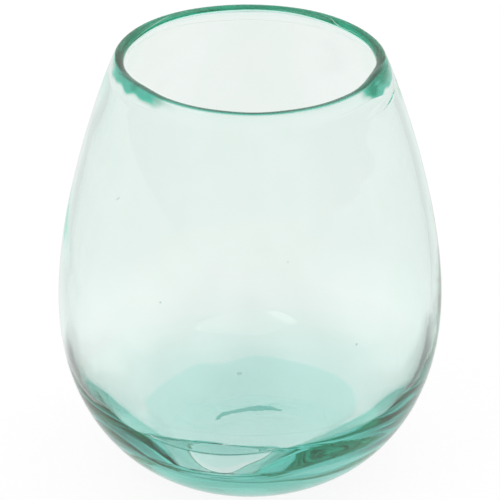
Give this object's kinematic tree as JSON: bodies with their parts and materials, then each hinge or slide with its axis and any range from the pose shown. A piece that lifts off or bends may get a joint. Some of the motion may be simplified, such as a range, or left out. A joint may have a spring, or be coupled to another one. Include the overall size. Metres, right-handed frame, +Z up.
{
  "type": "stemless wine glass",
  "caption": "Hand blown stemless wine glass of green tinted clear glass, with a wide belly, narrowed mouth, wrapped lip and thick rounded base.",
  "frame": {"origin": "on the table under the middle of the foot, which is the bottom centre of the box", "axes": "+Z up along the glass's axis; -Y faces the viewer of the picture, +X is to the viewer's right"},
  "size_m": [0.0966, 0.0966, 0.111],
  "materials": {
    "wall_glass": "clear, faintly green, fire polished, with seeds and soft ripples",
    "base_glass": "the same glass, thick enough to look aqua green",
    "lip_glass": "the same glass, greener along the rounded lip",
    "scar_glass": "broken and fire softened glass left by the pontil"
  },
  "bodies": {
    "root": {"bowl": "wall_glass", "base": "base_glass", "lip_wrap": "lip_glass", "pontil_scar": "scar_glass"}
  },
  "joints": []
}
